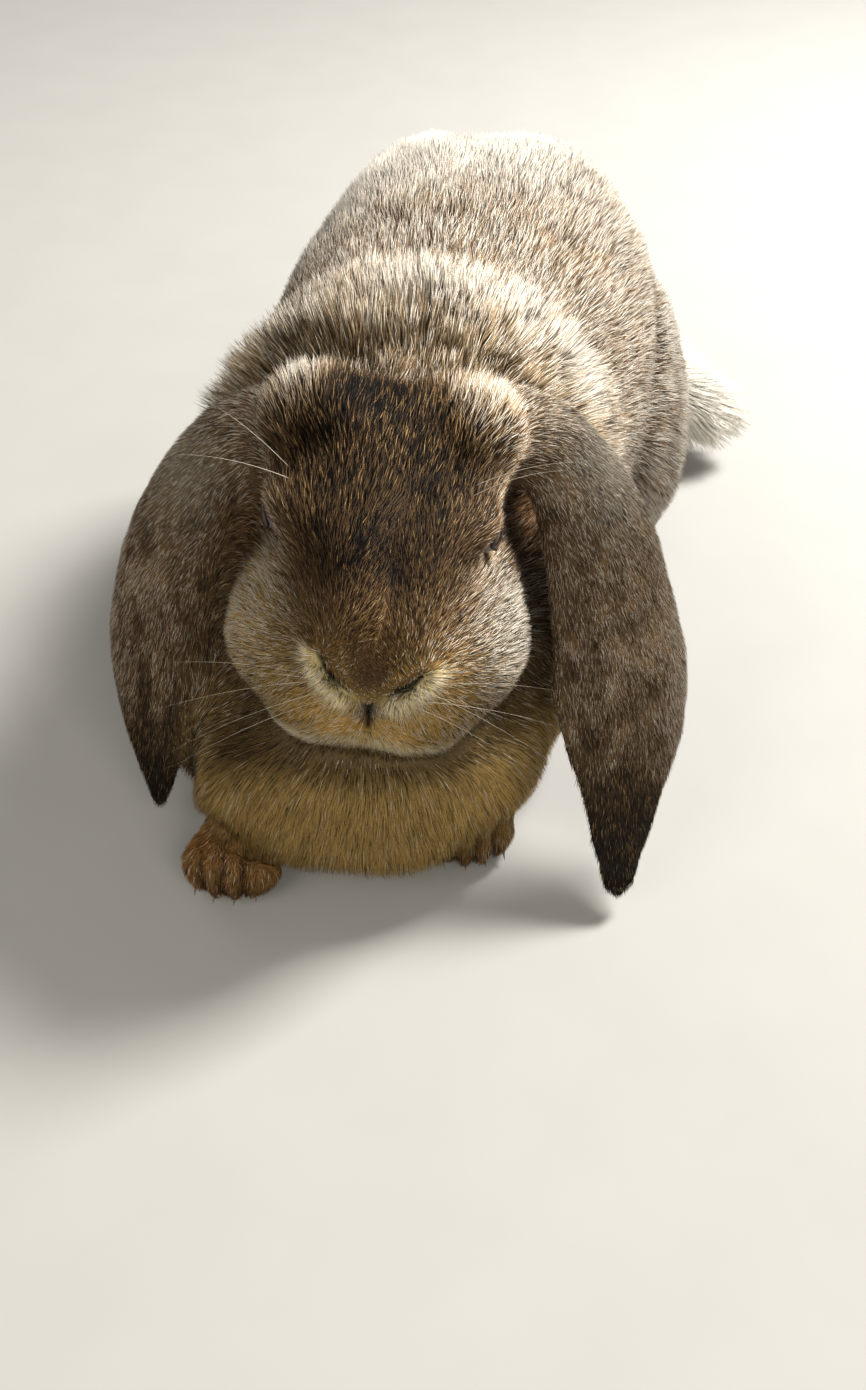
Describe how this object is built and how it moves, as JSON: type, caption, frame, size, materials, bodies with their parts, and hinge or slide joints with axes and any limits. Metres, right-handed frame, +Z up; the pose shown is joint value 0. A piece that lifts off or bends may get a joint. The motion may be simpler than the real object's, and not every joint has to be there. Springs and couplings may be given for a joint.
{
  "type": "lop-eared rabbit",
  "caption": "Life-size museum model of a resting lop-eared agouti rabbit, low on its belly with the ears hanging beside the face.",
  "frame": {"origin": "on the floor, under the middle of the animal's outline seen from above", "axes": "+Z up, the face looks towards -Y, the animal's left side is +X"},
  "size_m": [0.3204, 0.3936, 0.2218],
  "materials": {
    "fur_head": "short dense agouti fur, dark brown on the brow, tan on the muzzle, white chin",
    "fur_body": "thick soft agouti fur, brown and black with cream tips",
    "fur_chest": "soft warm brown fur with little ticking",
    "fur_ear": "short dense fur, dark grey brown with black tips",
    "fur_foot": "very short orange brown fur, paler toes",
    "fur_white": "fluffy white fur",
    "skin": "bare dark skin at nostrils, lips and eyelids",
    "eye_gloss": "wet dark brown eye",
    "claw": "smooth dark horn",
    "whisker": "fine pale whisker hair"
  },
  "bodies": {
    "root": {"head": "fur_head", "neck": "fur_body", "chest": "fur_chest", "trunk": "fur_body", "foreleg_right": "fur_foot", "hind_leg_right": "fur_body", "eye_right": "eye_gloss", "ear_right": "fur_ear", "foreleg_left": "fur_foot", "hind_leg_left": "fur_body", "eye_left": "eye_gloss", "ear_left": "fur_ear", "tail": "fur_white"}
  },
  "joints": []
}
